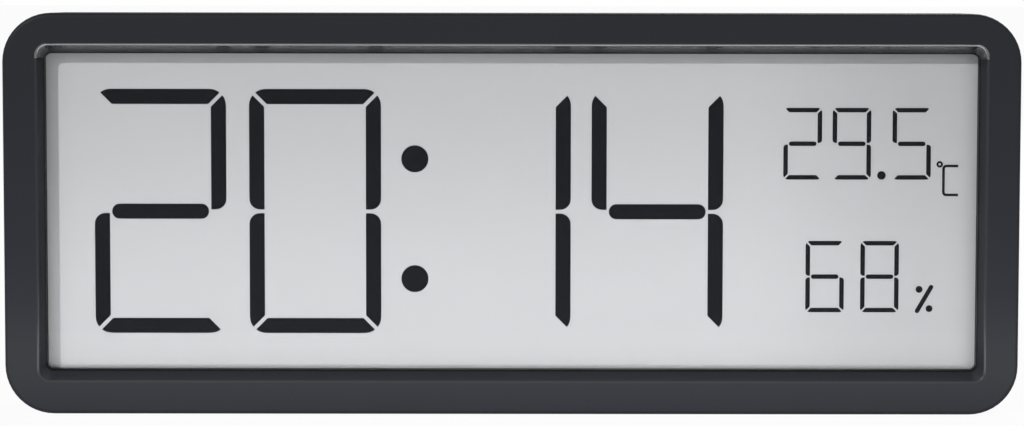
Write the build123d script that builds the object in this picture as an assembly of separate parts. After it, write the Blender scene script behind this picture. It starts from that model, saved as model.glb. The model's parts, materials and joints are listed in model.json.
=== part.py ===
from build123d import *

import math
import os

os.makedirs("parts", exist_ok=True)

# Sizes are in millimetres. The front faces -Y, +Z is up, and the origin lies under the middle of the case.

# Case
corner_radius = 10.3
wall = 2.0
frame_depth = 11.0
front_edge_round = 0.8
rear_edge_round = 1.8
seam_chamfer = 0.3
lip_depth = 2.0
lip_thickness = 1.0
lip_clearance = 0.15

# Border of the front face: its upper part, and the bevel around the window
border_top = 8.5
bevel_side = 1.35
bevel_top = 1.8
bevel_bottom = 2.2
bevel_depth = 2.5
bevel_corner = 2.1
bevel_edge_round = 0.7
window_corner = 1.5
window_edge_round = 0.25
land_depth = 1.0
pick_tolerance = 0.01

# Display, from front to back
tape_thickness = 0.2
pane_thickness = 1.2
pane_overlap = 1.55
gasket_thickness = 0.4
polarizer_thickness = 0.2
glass_thickness = 1.1
glass_inset = 0.15
cell_gap = 0.1
segment_gap = 0.04
reflector_thickness = 0.2
reflector_inset = 0.4
ledge_height = 2.8
ledge_below_window = 1.25
strip_inset = 0.2
hidden_edge = 0.1
guide_thickness = 1.2
guide_length = 8.0
guide_gap = 0.3
guide_xs = (-64.0, 0.0, 64.0)

# Large digits of the time, from left to right
time_margin = 9.8
time_width = 27.92
time_height = 51.87
time_stroke = 3.21
time_gap = 0.8
time_above = 7.57
time_below = 7.25
time_space = 4.87
minute_space = 4.39
colon_before = 4.29
colon_radius = 2.87
colon_after = 2.25
colon_upper_z = 11.18
colon_lower_z = -14.3

# Small digits of the weather, from left to right, and their units
weather_space = 12.7
small_width = 8.16
small_height = 15.2
small_stroke = 0.95
small_gap = 0.36
small_space = 2.23
point_space = 4.52
point_radius = 0.9
unit_space = 1.21
degree_radius = 0.69
degree_hole = 0.25
celsius_after = 0.55
celsius_width = 3.4
celsius_height = 6.69
celsius_stroke = 0.55
celsius_corner = 0.9
celsius_drop = 0.07
weather_margin = 3.61
temperature_z = 14.49
degree_z = 10.15
humidity_indent = 4.88
humidity_space = 3.48
humidity_z = -13.75
percent_space = 3.96
percent_z = -18.5
percent_rise = 5.1
percent_run = 2.95
percent_stroke = 0.93
percent_dot_radius = 0.73
percent_dot_x = 1.08
percent_dot_z = 2.05
corner_share = 1.1
end_round_share = 0.7
middle_gap_share = 0.6

# Carrier plate behind the display
carrier_thickness = 1.8
carrier_screw_offset = 2.4
ear_radius = 1.9
carrier_window_height = 26.0
carrier_window_width = 52.0
carrier_window_corner = 2.0
carrier_window_gap = 8.0
carrier_window_below = 8.0

# Circuit board
board_thickness = 1.2
board_post_height = 1.4
board_post_radius = 2.2
board_corner = 1.2
board_side_gap = 2.6
board_bay_gap = 4.3
board_top = 36.0
board_low_right = 64.0
board_low_top = 24.0
board_below_ledge = 0.6
board_lip_gap = 1.45
board_screw_inset = 4.5
board_post_gap = 0.3
strip_length = 110.0
strip_height = 2.0
strip_clearance = 0.15

# Screws
case_screw_z = 13.0
shelf_thickness = 2.0
screw_radius = 0.95
screw_hole_clearance = 0.05
screw_pass_clearance = 0.15
screw_end_room = 0.5
screw_head_radius = 1.6
screw_head_height = 1.3
cross_length = 1.8
cross_width = 0.5
screw_length = 6.0
small_screw_radius = 0.75
small_screw_head_radius = 1.5
small_screw_head_height = 1.0
small_screw_length = 3.4
counterbore_clearance = 0.1
tube_wall = 0.65

# Battery bay
cell_diameter = 10.5
cell_length = 43.5
nub_radius = 1.9
nub_length = 1.0
cell_edge_chamfer = 0.4
cells_apart = 0.4
cell_side_gap = 0.3
cell_headroom = 0.6
contact_thickness = 0.4
contact_width = 8.0
contact_inset = 0.75
dimple_height = 0.6
dimple_radius = 2.2
spring_length = 6.6
spring_wire_radius = 0.35
spring_base_radius = 3.6
spring_tip_radius = 2.4
spring_turns = 3
bay_wall = 1.2
bay_gap = 2.5
bay_z = 41.0
bay_behind_carrier = 0.3
rib_width = 1.0
rib_height = 2.5
tail_length = 2.8
tail_half_width = 1.0
tail_clearance = 0.2
tail_rise = 3.7

# Battery door, hinged at its upper edge
door_thickness = 1.7
door_sink = 0.1
door_margin = 2.0
door_gap = 0.3
door_seat_gap = 0.05
door_corner = 2.0
pad_margin = 1.2
pad_thickness = 1.8
hook_width = 8.0
hook_thickness = 0.8
hook_length = 2.0
hook_offset = 16.0
hook_clearance = 0.4
thumb_tab_width = 12.0
thumb_tab_height = 2.6
thumb_tab_thickness = 0.9
grip_count = 4
grip_pitch = 1.8
grip_width = 0.9
grip_depth = 0.45
scoop_margin = 2.0
scoop_gap = 0.3

# Stand, hinged at its upper edge
stand_width = 65.0
stand_thickness = 2.4
stand_sink = 0.2
stand_side_gap = 0.5
stand_back_gap = 0.6
stand_pivot_z = 46.5
stand_free_z = 0.8
stand_corner = 5.0
stand_open_angle = 38.0
stand_panel_border = 5.0
stand_panel_depth = 0.6
heel_width = 20.0
heel_height = 3.2
heel_back = 1.0
heel_front = 0.6
heel_gap = 0.1
heel_room = 0.4
pin_radius = 1.6
pin_length = 3.0
pin_clearance = 0.05
ear_thickness = 4.0
thumb_radius = 6.0
thumb_z = 11.0
thumb_depth = 1.2

# Keyholes for hanging
keyhole_spacing = 120.0
keyhole_below_top = 16.0
keyhole_radius = 4.0
keyhole_slot_radius = 2.1
keyhole_rise = 6.5
keyhole_plate = 2.6
cup_depth = 4.0
cup_wall = 1.2
cup_clearance = 1.5

# Buttons and vents on the back
button_names = ("set", "up", "down", "unit")
button_side_gap = 7.0
button_spacing = 1.0
button_z = 13.0
button_width = 7.0
button_height = 4.5
button_clearance = 0.25
button_sink = 0.1
button_edge_chamfer = 0.4
button_travel = 0.4
flange_margin = 1.0
flange_thickness = 1.1
flange_gap = 0.1
stem_radius = 1.5
tray_margin = 1.6
tray_depth = 0.8
switch_size = 6.0
switch_height = 3.5
plunger_radius = 1.75
plunger_rise = 1.3
plunger_depth = 0.9
plunger_clearance = 0.1
vent_z = 27.0
vent_count = 5
vent_pitch = 3.2
vent_length = 30.0
vent_width = 1.5

# Parts on the board, with the places across it from the line of its middle screws, except for the crystal,
# which keeps its distance from the right end of the board
blob_x = 19.5
blob_z = 21.0
blob_radius = 6.5
blob_height = 1.5
crystal_x = 26.0
crystal_z = 27.0
crystal_radius = 1.0
crystal_length = 6.0
crystal_lead = 1.6
crystal_lead_width = 0.3
sensor_z = 26.0
sensor_width = 8.0
sensor_height = 10.0
sensor_depth = 4.5
sensor_slot_depth = 0.8
sensor_slot_length = 5.6
sensor_slot_width = 1.0
sensor_slot_pitch = 2.5
thermistor_from_sensor = 9.0
thermistor_z = 26.0
thermistor_radius = 1.2
thermistor_stand_off = 3.5
thermistor_lead_radius = 0.25
chip_sizes = (2.0, 0.6, 1.2)
chip_places = ((7.5, 27), (7.5, 15), (29.5, 14), (35.5, 14), (45.5, 21), (45.5, 15), (-6.5, 30), (-6.5, 24))
lead_radius = 0.6
lead_bend = 2.0
lead_ends = ((18.0, 28.0), (24.0, 27.0))

# Outside sizes that follow from the display and from what lies around it
view_width = time_margin + 4 * time_width + time_space + minute_space
view_width += colon_before + 2 * colon_radius + colon_after
view_width += weather_space + 3 * small_width + small_space + point_space
view_width += unit_space + celsius_after + degree_radius + celsius_width + weather_margin
view_height = time_height + time_above + time_below
boss_radius = screw_head_radius + counterbore_clearance + tube_wall
border_side = wall + 2 * lip_clearance + 2 * boss_radius + pane_overlap
border_bottom = wall + lip_clearance + lip_thickness + board_lip_gap
border_bottom += board_below_ledge + ledge_height + ledge_below_window
case_width = view_width + 2 * border_side
case_height = view_height + border_top + border_bottom

# Depths that follow from the stack
front_wall = bevel_depth + land_depth
display_depth = tape_thickness + pane_thickness + gasket_thickness + 2 * glass_thickness + cell_gap
carrier_depth = front_wall + display_depth + reflector_thickness + carrier_thickness
bay_depth = bay_wall + cell_diameter + cell_headroom
case_depth = carrier_depth + bay_behind_carrier + bay_depth + door_thickness + door_sink
front_y = -case_depth / 2
back_y = case_depth / 2
seam_y = front_y + frame_depth
land_y = front_y + bevel_depth
inner_front_y = front_y + front_wall
pane_y = inner_front_y + tape_thickness
gasket_y = pane_y + pane_thickness
front_glass_y = gasket_y + gasket_thickness
cell_y = front_glass_y + glass_thickness
rear_glass_y = cell_y + cell_gap
reflector_y = rear_glass_y + glass_thickness
carrier_y = reflector_y + reflector_thickness
carrier_back_y = carrier_y + carrier_thickness
board_y = carrier_back_y + board_post_height
board_back_y = board_y + board_thickness
bay_floor_y = carrier_back_y + bay_behind_carrier + bay_wall
cell_axis_y = bay_floor_y + cell_diameter / 2
door_y = back_y - door_sink - door_thickness
cover_inner_y = back_y - wall
tube_front_y = seam_y - lip_depth - lip_clearance
shelf_y = tube_front_y + shelf_thickness

# Heights and widths that follow
mid_z = case_height / 2
window_left = border_side - case_width / 2
window_right = case_width / 2 - border_side
window_bottom = border_bottom
window_top = case_height - border_top
time_z = window_bottom + time_below + time_height / 2
glass_edge_x = window_right + pane_overlap - glass_inset
glass_top = window_top + pane_overlap - glass_inset
rear_glass_bottom = window_bottom - ledge_below_window
front_glass_bottom = rear_glass_bottom - ledge_height
boss_x = case_width / 2 - wall - lip_clearance - boss_radius
boss_zs = (case_screw_z, case_height - case_screw_z)
board_bottom = front_glass_bottom - board_below_ledge
segment_y = cell_y + segment_gap

# Stand and battery bay
stand_half = stand_width / 2
recess_half = stand_half + stand_side_gap
pivot_y = back_y - stand_sink - stand_thickness
recess_floor_y = pivot_y - stand_back_gap
stand_open = math.radians(stand_open_angle)
heel_reach = heel_back * math.cos(stand_open) + heel_height * math.sin(stand_open)
hinge_floor_y = pivot_y - max(heel_reach, stand_thickness) - heel_gap
hinge_sweep = max(math.hypot(heel_back, heel_height), stand_thickness) + heel_room
recess_top = stand_pivot_z + hinge_sweep
bay_length = 2 * contact_thickness + spring_length + cell_length + nub_length + dimple_height
bay_left = recess_half + ear_thickness + bay_gap
bay_right = bay_left + bay_length
cell_offset = (cell_diameter + cells_apart) / 2
bay_half_height = cell_offset + cell_diameter / 2 + cell_side_gap
bay_bottom = bay_z - bay_half_height
bay_top = bay_z + bay_half_height
carrier_screw_zs = (bay_bottom - bay_wall - carrier_screw_offset, bay_top + bay_wall + carrier_screw_offset)
cell_zs = (bay_z + cell_offset, bay_z - cell_offset)
bay_mid_x = (bay_left + bay_right) / 2
seat_y = door_y - door_seat_gap
door_left = bay_left - door_margin
door_right = bay_right + door_margin
door_bottom = bay_bottom - door_margin
door_top = bay_top + door_margin
nose_radius = door_thickness / 2
nose_y = door_y + nose_radius
nose_z = door_top - nose_radius
hook_xs = (bay_mid_x - hook_offset, bay_mid_x + hook_offset)
tail_y = bay_floor_y + tail_rise
contact_height = cell_diameter - 2 * contact_inset

# Board
board_left = board_side_gap - glass_edge_x
board_right = bay_left - bay_wall - board_bay_gap
board_mid_x = (board_left + board_right) / 2
board_low_z = rear_glass_bottom + board_post_radius + board_post_gap
board_high_z = board_top - board_screw_inset
board_screw_places = [
    (board_left + board_screw_inset, board_low_z),
    (board_left + board_screw_inset, board_high_z),
    (board_mid_x, board_low_z),
    (board_mid_x, board_high_z),
    (board_low_right - board_screw_inset, board_low_z),
    (board_right - board_screw_inset, board_high_z),
]

# Buttons and vents
button_pitch = button_width + 2 * flange_margin + button_spacing
button_first_x = -(recess_half + ear_thickness + button_side_gap)
button_xs = [button_first_x - i * button_pitch for i in range(len(button_names))]
vent_x = (button_xs[0] + button_xs[-1]) / 2
thermistor_x = vent_x - thermistor_from_sensor
button_face_y = back_y - button_sink
flange_y = cover_inner_y - flange_gap - flange_thickness
plunger_top_y = board_back_y + switch_height + plunger_rise
plunger_bottom_y = board_back_y + switch_height - plunger_depth


def at_depth(outline, y):
    """An outline drawn as seen from the front, placed at a depth."""
    return Plane(origin=(0, y, 0), x_dir=(1, 0, 0), z_dir=(0, -1, 0)) * outline


def layer(outline, y_from, y_to):
    """A slab of an outline between two depths."""
    return extrude(at_depth(outline, y_from), amount=y_from - y_to)


def panel(x_from, x_to, z_from, z_to):
    """A rectangle given by its edges."""
    middle = Pos((x_from + x_to) / 2, (z_from + z_to) / 2)
    return middle * Rectangle(abs(x_to - x_from), abs(z_to - z_from))


def rounded_panel(x_from, x_to, z_from, z_to, corner):
    """A rectangle given by its edges, with rounded corners."""
    middle = Pos((x_from + x_to) / 2, (z_from + z_to) / 2)
    return middle * RectangleRounded(abs(x_to - x_from), abs(z_to - z_from), corner)


def block(x_from, x_to, y_from, y_to, z_from, z_to):
    """A box given by its faces."""
    return layer(panel(x_from, x_to, z_from, z_to), y_from, y_to)


def rod(x, z, radius, y_from, y_to):
    """A round bar along Y."""
    return layer(Pos(x, z) * Circle(radius), y_from, y_to)


def cross_rod(y, z, radius, x_from, x_to):
    """A round bar along X."""
    middle = Pos((x_from + x_to) / 2, y, z)
    return middle * Rot(0, 90, 0) * Cylinder(radius, abs(x_to - x_from))


def case_outline(inset=0.0):
    """The outline of the case, moved inwards by an inset."""
    width = case_width - 2 * inset
    height = case_height - 2 * inset
    return Pos(0, mid_z) * RectangleRounded(width, height, corner_radius - inset)


def window_outline(grow=0.0):
    """The visible window, grown on all sides."""
    edges = (window_left - grow, window_right + grow, window_bottom - grow, window_top + grow)
    return rounded_panel(*edges, window_corner)


def glass_outline(bottom, inset=0.0):
    """A sheet of the display, from a lower edge up to the common upper edge."""
    reach = glass_edge_x - inset
    return panel(-reach, reach, bottom + inset, glass_top - inset)


def front_frame():
    """The front half of the case, with the bevelled window and the bosses behind it."""
    body = layer(case_outline(), front_y, seam_y)
    body = fillet(body.faces().sort_by(Axis.Y)[0].edges(), front_edge_round)
    body -= layer(case_outline(wall), inner_front_y, seam_y)
    bevel_edges = (
        window_left - bevel_side,
        window_right + bevel_side,
        window_bottom - bevel_bottom,
        window_top + bevel_top,
    )
    bevel_outline = rounded_panel(*bevel_edges, bevel_corner)
    body -= loft([at_depth(bevel_outline, front_y), at_depth(window_outline(), land_y)])
    body -= layer(window_outline(), land_y, inner_front_y)
    bevel_rim = body.faces().sort_by(Axis.Y)[0].inner_wires()[0].edges()
    body = fillet(bevel_rim, bevel_edge_round)
    window_rim = body.edges().filter_by_position(Axis.Y, land_y - pick_tolerance, land_y + pick_tolerance)
    body = fillet(window_rim, window_edge_round)
    for side in (-1, 1):
        for z, end in [(z, tube_front_y) for z in boss_zs] + [(z, carrier_y) for z in carrier_screw_zs]:
            web_end_x = side * (case_width / 2 - wall / 2)
            body += rod(side * boss_x, z, boss_radius, inner_front_y, end)
            body += block(side * boss_x, web_end_x, inner_front_y, end, z - wall / 2, z + wall / 2)
        for z in boss_zs:
            hole = screw_radius + screw_hole_clearance
            body -= rod(side * boss_x, z, hole, shelf_y - screw_length - screw_end_room, tube_front_y)
        for z in carrier_screw_zs:
            hole = small_screw_radius + screw_hole_clearance
            hole_end_y = carrier_back_y - small_screw_length - screw_end_room
            body -= rod(side * boss_x, z, hole, hole_end_y, carrier_y)
    return body + display_guides()


def display_guides():
    """The short ribs in the frame that keep the display from sliding."""
    half = guide_length / 2
    depth = (inner_front_y, reflector_y)
    top = (glass_top + guide_gap, glass_top + guide_gap + guide_thickness)
    side_edges = (glass_edge_x + guide_gap, glass_edge_x + guide_gap + guide_thickness)
    guides = [block(x - half, x + half, *depth, *top) for x in guide_xs]
    for side in (-1, 1):
        edges = [side * x for x in side_edges]
        guides.append(block(*edges, *depth, mid_z - half, mid_z + half))
        x = side * (strip_length / 2 + 2 * guide_length)
        low = front_glass_bottom - guide_gap
        guides.append(block(x - half, x + half, *depth, low - guide_thickness, low))
    return guides


def display_window():
    """The clear pane behind the opening."""
    return layer(window_outline(pane_overlap), pane_y, gasket_y)


def window_tape():
    """The adhesive frame between the case and the pane."""
    ring = window_outline(pane_overlap - hidden_edge) - window_outline(2 * hidden_edge)
    return layer(ring, inner_front_y, pane_y)


def display_gasket():
    """The foam frame between the pane and the display."""
    ring = window_outline(pane_overlap - 2 * hidden_edge) - window_outline(2 * hidden_edge)
    return layer(ring, gasket_y, front_glass_y)


def front_polarizer():
    """The film on the front glass."""
    return layer(window_outline(hidden_edge), front_glass_y - polarizer_thickness, front_glass_y)


def front_glass():
    """The front glass, which reaches below the rear one and so leaves a contact ledge."""
    return layer(glass_outline(front_glass_bottom), front_glass_y, cell_y)


def cell_seal():
    """The seal between the two glasses."""
    ring = glass_outline(rear_glass_bottom, 2 * hidden_edge) - window_outline(3 * hidden_edge)
    return layer(ring, cell_y, rear_glass_y)


def rear_glass():
    """The rear glass."""
    return layer(glass_outline(rear_glass_bottom), rear_glass_y, reflector_y)


def reflector():
    """The reflecting film behind the rear glass."""
    return layer(glass_outline(rear_glass_bottom, reflector_inset), reflector_y, carrier_y)


LIT = {
    "0": "abcdef",
    "1": "bc",
    "2": "abged",
    "4": "fgbc",
    "5": "afgcd",
    "6": "afgedc",
    "8": "abcdefg",
    "9": "abcdfg",
}


def digit(figure, width, height, stroke, gap):
    """The lit bars of a seven-bar figure, centred on the origin."""
    ring = RectangleRounded(width, height, corner_share * stroke)
    ring -= Rectangle(width - 2 * stroke, height - 2 * stroke)
    ring -= Rectangle(2 * width, gap)
    for side in (-1, 1):
        for end in (-1, 1):
            inner_corner = Pos(side * (width / 2 - stroke), end * (height / 2 - stroke))
            ring -= inner_corner * Rot(0, 0, 45 * side * end) * Rectangle(4 * stroke, gap)
    middle_ends = [v for v in ring.vertices() if abs(v.Y) < gap and abs(v.X) > width / 2 - stroke / 2]
    ring = fillet(middle_ends, end_round_share * stroke)
    bars = {"g": SlotOverall(width - 2 * stroke - 2 * middle_gap_share * gap, stroke)}
    for face in ring.faces():
        centre = face.center()
        if abs(centre.X) < stroke:
            bars["a" if centre.Y > 0 else "d"] = face
        elif centre.X > 0:
            bars["b" if centre.Y > 0 else "c"] = face
        else:
            bars["f" if centre.Y > 0 else "e"] = face
    return Sketch() + [bars[letter] for letter in LIT[figure]]


def lit(outline):
    """A lit area in the display cell, drawn around the middle of the large figures."""
    return layer(Pos(0, time_z) * outline, segment_y, rear_glass_y)


def time_centres():
    """Where the large figures and the colon between them stand."""
    first = window_left + time_margin + time_width / 2
    second = first + time_width + time_space
    colon = second + time_width / 2 + colon_before + colon_radius
    third = colon + colon_radius + colon_after + time_width / 2
    return [first, second, third, third + time_width + minute_space], colon


def weather_left():
    """The left edge of the small figures."""
    return time_centres()[0][-1] + time_width / 2 + weather_space


def time_digits():
    """The four large figures."""
    size = (time_width, time_height, time_stroke, time_gap)
    return lit(Sketch() + [Pos(x, 0) * digit(figure, *size) for figure, x in zip("2014", time_centres()[0])])


def time_colon():
    """The two dots between hours and minutes."""
    dots = [Pos(time_centres()[1], z) * Circle(colon_radius) for z in (colon_upper_z, colon_lower_z)]
    return lit(Sketch() + dots)


def temperature_digits():
    """The three small figures of the temperature, with the point."""
    size = (small_width, small_height, small_stroke, small_gap)
    first = weather_left() + small_width / 2
    second = first + small_width + small_space
    third = second + small_width + point_space
    figures = [Pos(x, temperature_z) * digit(f, *size) for f, x in zip("295", (first, second, third))]
    point_z = temperature_z - small_height / 2 + point_radius
    return lit(Sketch() + figures + [Pos((second + third) / 2, point_z) * Circle(point_radius)])


def temperature_unit():
    """The small ring and the open bracket of the unit."""
    bracket_right = window_right - weather_margin
    bracket_left = bracket_right - celsius_width
    ring = Circle(degree_radius) - Circle(degree_hole)
    bracket_top = degree_z - celsius_drop
    bracket_low = bracket_top - celsius_height
    far_right = bracket_right + 2 * celsius_corner
    bracket = rounded_panel(bracket_left, far_right, bracket_low, bracket_top, celsius_corner)
    inside_corner = celsius_corner - celsius_stroke
    widths = (bracket_left + celsius_stroke, far_right)
    heights = (bracket_low + celsius_stroke, bracket_top - celsius_stroke)
    bracket -= rounded_panel(*widths, *heights, inside_corner)
    bracket &= panel(bracket_left, bracket_right, bracket_low, bracket_top)
    return lit(Sketch() + [Pos(bracket_left - celsius_after, degree_z) * ring, bracket])


def humidity_centres():
    """Where the figures of the humidity stand."""
    first = weather_left() + humidity_indent + small_width / 2
    return [first, first + small_width + humidity_space]


def humidity_digits():
    """The two small figures of the humidity."""
    size = (small_width, small_height, small_stroke, small_gap)
    return lit(Sketch() + [Pos(x, humidity_z) * digit(f, *size) for f, x in zip("68", humidity_centres())])


def humidity_unit():
    """The percent sign: a slanted bar and two dots."""
    x = humidity_centres()[1] + small_width / 2 + percent_space + percent_run / 2
    angle = math.degrees(math.atan2(percent_rise, percent_run))
    bar = SlotOverall(math.hypot(percent_rise, percent_run) + percent_stroke, percent_stroke)
    dots = [Pos(s * percent_dot_x, -s * percent_dot_z) * Circle(percent_dot_radius) for s in (-1, 1)]
    return lit(Pos(x, percent_z) * (Sketch() + [Rot(0, 0, angle) * bar] + dots))


def carrier():
    """The plate that holds the display in the frame and carries the board."""
    plate = layer(glass_outline(front_glass_bottom), carrier_y, carrier_back_y)
    strip_room = strip_length / 2 + strip_clearance
    strip_top = rear_glass_bottom - strip_clearance
    plate -= block(-strip_room, strip_room, carrier_y, carrier_back_y, board_bottom, strip_top)
    for i in (-1, 0, 1):
        opening = RectangleRounded(carrier_window_width, carrier_window_height, carrier_window_corner)
        opening_z = glass_top - carrier_window_below - carrier_window_height / 2
        place = Pos(i * (carrier_window_width + carrier_window_gap), opening_z)
        plate -= layer(place * opening, carrier_y, carrier_back_y)
    for side in (-1, 1):
        for z in carrier_screw_zs:
            x = side * boss_x
            plate += block(side * glass_edge_x, x, carrier_y, carrier_back_y, z - ear_radius, z + ear_radius)
            plate += rod(x, z, ear_radius, carrier_y, carrier_back_y)
            plate -= rod(x, z, small_screw_radius + screw_pass_clearance, carrier_y, carrier_back_y)
    for x, z in board_screw_places:
        hole_end_y = board_back_y - small_screw_length - screw_end_room
        plate += rod(x, z, board_post_radius, carrier_y, board_y)
        plate -= rod(x, z, small_screw_radius + screw_hole_clearance, hole_end_y, board_y)
    return plate


def screw(x, z, seat_y, radius, length, head_radius, head_height):
    """A screw driven towards the front, with its head on a seat and a cross recess in the head."""
    body = rod(x, z, radius, seat_y - length, seat_y)
    body += rod(x, z, head_radius, seat_y, seat_y + head_height)
    cross = Rectangle(cross_length, cross_width) + Rectangle(cross_width, cross_length)
    return body - layer(Pos(x, z) * cross, seat_y + head_height / 2, seat_y + head_height)


def case_screws():
    """The screws that hold the two halves of the case together."""
    size = (screw_radius, screw_length, screw_head_radius, screw_head_height)
    return Part() + [screw(side * boss_x, z, shelf_y, *size) for side in (-1, 1) for z in boss_zs]


def small_screw(x, z, seat_y):
    """A screw of the size used inside."""
    size = (small_screw_radius, small_screw_length, small_screw_head_radius, small_screw_head_height)
    return screw(x, z, seat_y, *size)


def carrier_screws():
    """The screws that hold the carrier in the front frame."""
    places = [(side * boss_x, z) for side in (-1, 1) for z in carrier_screw_zs]
    return Part() + [small_screw(x, z, carrier_back_y) for x, z in places]


def board_screws():
    """The screws that hold the board on the carrier."""
    return Part() + [small_screw(x, z, board_back_y) for x, z in board_screw_places]


def contact_strip():
    """The conductive rubber strip between the display's ledge and the board."""
    half = strip_length / 2
    strip_top = rear_glass_bottom - 2 * strip_inset
    return block(-half, half, cell_y, board_y, strip_top - strip_height, strip_top)


def main_board():
    """The circuit board, with an arm below the battery bay."""
    outline = rounded_panel(board_left, board_right, board_bottom, board_top, board_corner)
    outline += rounded_panel(board_left, board_low_right, board_bottom, board_low_top, board_corner)
    hole = Circle(small_screw_radius + screw_pass_clearance)
    return layer(outline - [Pos(x, z) * hole for x, z in board_screw_places], board_y, board_back_y)


def controller_blob():
    """The resin dome over the controller."""
    ball_radius = (blob_radius**2 + blob_height**2) / (2 * blob_height)
    x = board_mid_x + blob_x
    ball = Pos(x, board_back_y + blob_height - ball_radius, blob_z) * Sphere(ball_radius)
    return ball & rod(x, blob_z, 2 * blob_radius, board_back_y, board_back_y + 2 * blob_height)


def quartz_crystal():
    """The can of the crystal, which lies on the board, with its two short leads."""
    can_x = board_right - crystal_x
    axis_y = board_back_y + crystal_radius
    can = cross_rod(axis_y, crystal_z, crystal_radius, can_x, can_x + crystal_length)
    half = crystal_lead_width / 2
    for z in (crystal_z - crystal_radius / 2, crystal_z + crystal_radius / 2):
        can += block(can_x - crystal_lead, can_x, board_back_y, axis_y, z - half, z + half)
    return can


def humidity_sensor():
    """The slotted shell of the humidity sensor, behind the vents."""
    left = vent_x - sensor_width / 2
    low = sensor_z - sensor_height / 2
    top_y = board_back_y + sensor_depth
    shell = block(left, left + sensor_width, board_back_y, top_y, low, low + sensor_height)
    for i in (-1, 0, 1):
        slot = SlotOverall(sensor_slot_length, sensor_slot_width)
        place = Pos(vent_x, sensor_z + i * sensor_slot_pitch)
        shell -= layer(place * slot, top_y - sensor_slot_depth, top_y)
    return shell


def thermistor():
    """The bead of the thermistor on its two leads."""
    bead_y = board_back_y + thermistor_stand_off
    bead = Pos(thermistor_x, bead_y, thermistor_z) * Sphere(thermistor_radius)
    for side in (-1, 1):
        x = thermistor_x + side * thermistor_radius / 2
        bead += rod(x, thermistor_z, thermistor_lead_radius, board_back_y, bead_y)
    return bead


def chip_parts():
    """The small surface parts on the board."""
    length, height, depth = chip_sizes
    top_y = board_back_y + height
    lefts = [(board_mid_x + x, z) for x, z in chip_places]
    return Part() + [block(x, x + length, board_back_y, top_y, z, z + depth) for x, z in lefts]


def switch_bodies():
    """The bodies of the four push switches, each with a well for its plunger."""
    top_y = board_back_y + switch_height
    bodies = []
    for x in button_xs:
        half = switch_size / 2
        body = block(x - half, x + half, board_back_y, top_y, button_z - half, button_z + half)
        well_floor_y = plunger_bottom_y - 2 * button_travel
        bodies.append(body - rod(x, button_z, plunger_radius + plunger_clearance, well_floor_y, top_y))
    return Part() + bodies


def plunger(x):
    """The plunger of one push switch."""
    return rod(x, button_z, plunger_radius, plunger_bottom_y, plunger_top_y)


def button(x):
    """A button cap with the flange that keeps it in the cover and the stem that meets the switch."""
    cap = layer(Pos(x, button_z) * SlotOverall(button_width, button_height), flange_y, button_face_y)
    cap = chamfer(cap.faces().sort_by(Axis.Y)[-1].edges(), button_edge_chamfer)
    flange = SlotOverall(button_width + 2 * flange_margin, button_height + 2 * flange_margin)
    cap += layer(Pos(x, button_z) * flange, flange_y, flange_y + flange_thickness)
    return cap + rod(x, button_z, stem_radius, plunger_top_y, flange_y)


def cover_shell():
    """The rear half of the case before its features, with the lip that enters the front half."""
    shell = layer(case_outline(), seam_y, back_y)
    shell = fillet(shell.faces().sort_by(Axis.Y)[-1].edges(), rear_edge_round)
    shell = chamfer(shell.faces().sort_by(Axis.Y)[0].edges(), seam_chamfer)
    shell -= layer(case_outline(wall), seam_y, cover_inner_y)
    lip_outer = wall + lip_clearance
    lip_inner = case_outline(lip_outer + lip_thickness)
    shell += layer(case_outline(wall / 2) - lip_inner, seam_y + seam_chamfer, seam_y + lip_depth)
    lip = layer(case_outline(lip_outer) - lip_inner, seam_y - lip_depth, seam_y + lip_depth)
    for side in (-1, 1):
        for z in carrier_screw_zs:
            room = 2 * ear_radius
            edges = (side * glass_edge_x, side * case_width / 2)
            lip -= block(*edges, seam_y - lip_depth, seam_y, z - room, z + room)
    return shell + lip


def with_stand_recess(cover):
    """Adds the recess that takes the folded stand, with its hinge sockets and thumb scoops."""
    outer = recess_half + wall
    cover += block(-outer, outer, recess_floor_y - wall, cover_inner_y, wall / 2, recess_top + wall)
    hinge_low = stand_pivot_z - hinge_sweep
    ear_half = recess_half + ear_thickness
    ear_z = (hinge_low - wall, recess_top + wall)
    cover += block(-ear_half, ear_half, hinge_floor_y - wall, cover_inner_y, *ear_z)
    cover -= block(-recess_half, recess_half, recess_floor_y, back_y, -wall, recess_top)
    cover -= block(-recess_half, recess_half, hinge_floor_y, back_y, hinge_low, recess_top)
    socket = pin_radius + pin_clearance
    socket_end = recess_half + pin_length
    cover -= cross_rod(pivot_y, stand_pivot_z, socket, -socket_end, socket_end)
    for side in (-1, 1):
        cover -= rod(side * recess_half, thumb_z, thumb_radius, back_y - thumb_depth, back_y)
    return cover


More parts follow.
